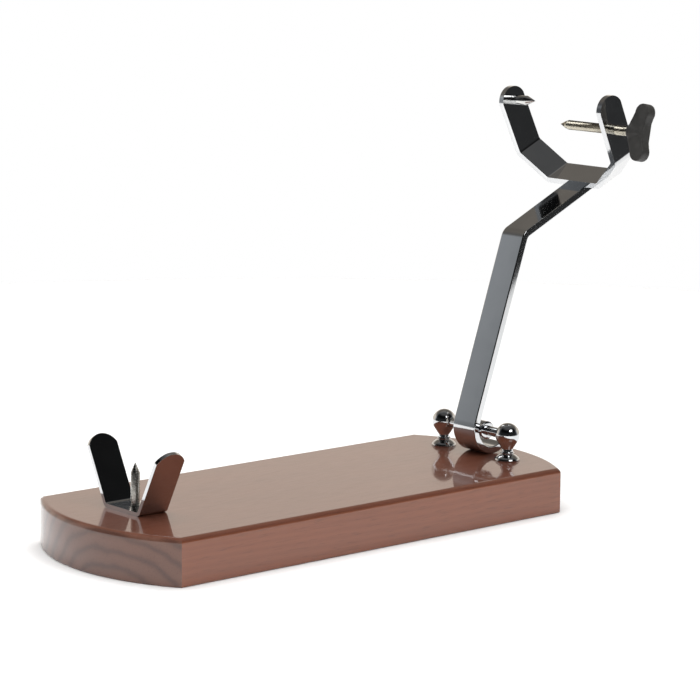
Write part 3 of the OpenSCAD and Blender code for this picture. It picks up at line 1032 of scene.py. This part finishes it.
def make_web():
    deselect_all()
    bpy.ops.mesh.primitive_cube_add(size=1, location=(0, 0, knob_depth / 2 - 0.5 * mm))
    web = bpy.context.object
    web.name = "grip"
    web.scale = (2 * knob_hub_r, knob_t, knob_depth - 4 * mm)
    settle(web)
    for side in (1, -1):
        open_piece(web)
        pick(web, "faces", lambda f: f.normal.x * side > 0.9)
        extrude((side * (lobe_x - knob_hub_r), 0, 0))
        resize((1, 1, 2 * lobe_r / (knob_depth - 4 * mm)), (0, 0, knob_depth / 2 - 0.5 * mm))
        bpy.ops.transform.translate(value=(0, 0, lobe_z - (knob_depth / 2 - 0.5 * mm)))
        close_piece()
    return web


def make_grip():
    parts = [make_web()]
    for side in (1, -1):
        deselect_all()
        bpy.ops.mesh.primitive_cylinder_add(vertices=64, radius=lobe_r, depth=knob_t,
                                            rotation=(pi / 2, 0, 0), location=(side * lobe_x, 0, lobe_z))
        parts.append(bpy.context.object)
    hub = turned("hub", [(0, knob_hub_r - 0.8 * mm), (0.8 * mm, knob_hub_r),
                         (4.5 * mm, knob_hub_r - 0.2 * mm),
                         (9 * mm, 5.4 * mm), (knob_depth - 5 * mm, 4.9 * mm),
                         (knob_depth - 3.5 * mm, 3 * mm), (knob_depth - 3.2 * mm, 0)], steps=64)
    parts.append(hub)
    make_active(*parts)
    bpy.ops.object.join()
    grip = parts[0]
    fuse = grip.modifiers.new("fuse", "REMESH")
    fuse.mode = "VOXEL"
    fuse.voxel_size = 0.45 * mm
    soften = grip.modifiers.new("soften", "SMOOTH")
    soften.factor = 0.5
    soften.iterations = 26
    apply_modifiers(grip)
    return grip


grip = make_grip()
drill(grip, screw_r + fit, (0, 0, -2 * mm), (0, 0, knob_bore))
settle(grip, knob_frame)
smooth(grip, angle=radians(60), weighted=False)
hand_over(grip, "knob", "dark_plastic", moulded_plastic, "wing_knob")

# %% [markdown]
# ## Fasteners under the board
# Washers, nut and socket bolts are bought parts, and the CAD has their exact shapes. What
# it leaves out is that no such part has knife edges. Each one is copied, its loose
# triangles are merged and dissolved back to plain faces, and its edges are broken with a
# small bevel.

# %% Break the fasteners' edges
def broken_edges(node, width):
    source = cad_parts[node]
    piece = source.copy()
    piece.data = source.data.copy()
    piece.parent = None
    for key in list(piece.keys()):
        del piece[key]
    piece.name = node + "_finished"
    bpy.context.scene.collection.objects.link(piece)
    clean(piece, 0.002 * mm)
    open_piece(piece)
    bpy.ops.mesh.select_all(action="SELECT")
    bpy.ops.mesh.dissolve_limited(angle_limit=radians(1))
    close_piece()
    round_edges(piece, width, segments=2)
    smooth(piece, angle=radians(35))
    return piece


for node, width in (("spike_washer", 0.2), ("far_post_washer", 0.2), ("near_post_washer", 0.2),
                    ("spike_nut", 0.25), ("far_post_bolt", 0.3), ("near_post_bolt", 0.3)):
    hand_over(broken_edges(node, width * mm), "stand", "zinc_steel", zinc, node)

# %% [markdown]
# ## Floor, light and camera
# The stand is shown on plain pale paper. Chrome shows whatever stands round it, so the
# light is arranged for the reflections: a bright backdrop low behind the stand, a darker
# room on the camera's side, and soft boxes overhead. Surfaces that face the camera then
# go dark and every rounded edge that turns away picks up a white line.

# %% The floor
def make_paper():
    material, tree, shader, place = new_material("pale_paper", Roughness=0.9, Specular_IOR_Level=0.1)
    fibres = noise(tree, place, 300.0, detail=3)
    link(tree, ramp(tree, fibres, [(0.3, grey(0.86)), (0.7, grey(0.88))]), shader.inputs["Base Color"])
    bump(tree, shader, fibres, 0.05, 0.0001)
    return material


deselect_all()
bpy.ops.mesh.primitive_circle_add(vertices=128, radius=1.3, fill_type="NGON", location=(0.05, 0, 0))
floor = bpy.context.object
floor.name = "floor"
settle(floor)
floor.data.materials.append(make_paper())

# %% The surrounding room, bright behind and dark in front
view_yaw = radians(41.19)


def make_room():
    world = bpy.data.worlds.new("studio")
    bpy.context.scene.world = world
    world.use_nodes = True
    tree = world.node_tree
    tree.nodes.clear()
    direction = add(tree, "ShaderNodeTexCoord").outputs["Generated"]
    ahead = add(tree, "ShaderNodeVectorMath", operation="DOT_PRODUCT")
    link(tree, direction, ahead.inputs[0])
    ahead.inputs[1].default_value = (sin(view_yaw), cos(view_yaw), 0)
    parts = add(tree, "ShaderNodeSeparateXYZ")
    link(tree, direction, parts.inputs[0])
    sweep = ramp(tree, calculate(tree, "MULTIPLY_ADD", ahead.outputs["Value"], 0.5, 0.5),
                 [(0.30, grey(0.02)), (0.50, grey(0.035)), (0.575, (0.40, 0.41, 0.42)),
                  (0.70, (0.84, 0.745, 0.64))])
    height = ramp(tree, parts.outputs["Z"], [(0.0, grey(1.0)), (0.33, grey(1.0)), (0.52, grey(0.24)),
                                             (0.8, grey(0.16))])
    seen = blend_colours(tree, 1.0, sweep, height, "MULTIPLY")
    tinted = blend_colours(tree, 1.0, seen, (0.98, 1.0, 1.02, 1), "MULTIPLY")
    ceiling = ramp(tree, parts.outputs["Z"], [(0.76, grey(0)), (0.93, grey(0.085))])
    tinted = blend_colours(tree, 1.0, tinted, ceiling, "ADD")
    for_camera = add(tree, "ShaderNodeLightPath").outputs["Is Camera Ray"]
    shown = blend_colours(tree, for_camera, tinted, (1.0, 1.0, 1.0, 1))
    back = add(tree, "ShaderNodeBackground")
    link(tree, shown, back.inputs["Color"])
    link(tree, back.outputs[0], add(tree, "ShaderNodeOutputWorld").inputs["Surface"])


make_room()

# %% The soft boxes
def soft_box(name, place, size, power, aim=(0, 0, 0.1), tint=(1, 1, 1)):
    light = bpy.data.lights.new(name, "AREA")
    light.shape = "RECTANGLE"
    light.size, light.size_y = size
    light.energy = power
    light.color = tint
    lamp = bpy.data.objects.new(name, light)
    lamp.location = place
    lamp.rotation_euler = (Vector(place) - Vector(aim)).to_track_quat("Z", "Y").to_euler()
    bpy.context.scene.collection.objects.link(lamp)
    return lamp


overhead = soft_box("overhead", (0.1, 0.2, 2.2), (3.2, 3.2), 96)
side_fill = soft_box("side_fill", (-2.1, -0.9, 0.9), (1.2, 1.2), 8)
front_fill = soft_box("front_fill", (-1.3, -1.5, 0.8), (1.2, 0.9), 11)
for unseen in (overhead, side_fill, front_fill):
    unseen.visible_glossy = False
soft_box("front_window", (0.1, -1.3, 1.4), (0.8, 0.5), 5)

# %% The camera
def place_camera():
    lens = bpy.data.cameras.new("camera")
    lens.lens = 145.5
    lens.sensor_width = 36
    lens.shift_x, lens.shift_y = -0.0175, -0.0045
    lens.clip_start, lens.clip_end = 0.05, 30
    camera = bpy.data.objects.new("camera", lens)
    bpy.context.scene.collection.objects.link(camera)
    pitch, roll = radians(9.827), radians(0.659)
    turn = (Matrix.Rotation(-view_yaw, 4, "Z") @ Matrix.Rotation(pi / 2 - pitch, 4, "X")
            @ Matrix.Rotation(roll, 4, "Z"))
    camera.matrix_world = Matrix.Translation((-1.3973, -1.6604, 0.5203)) @ turn
    bpy.context.scene.camera = camera


place_camera()
bpy.context.scene.view_settings.view_transform = "Standard"

# %% [markdown]
# ## Finish
# The last cell updates the view layer, so that every piece stands in its final place.
# The dressed model has to stay inside the CAD model's box.

# %% Finish
bpy.context.view_layer.update()
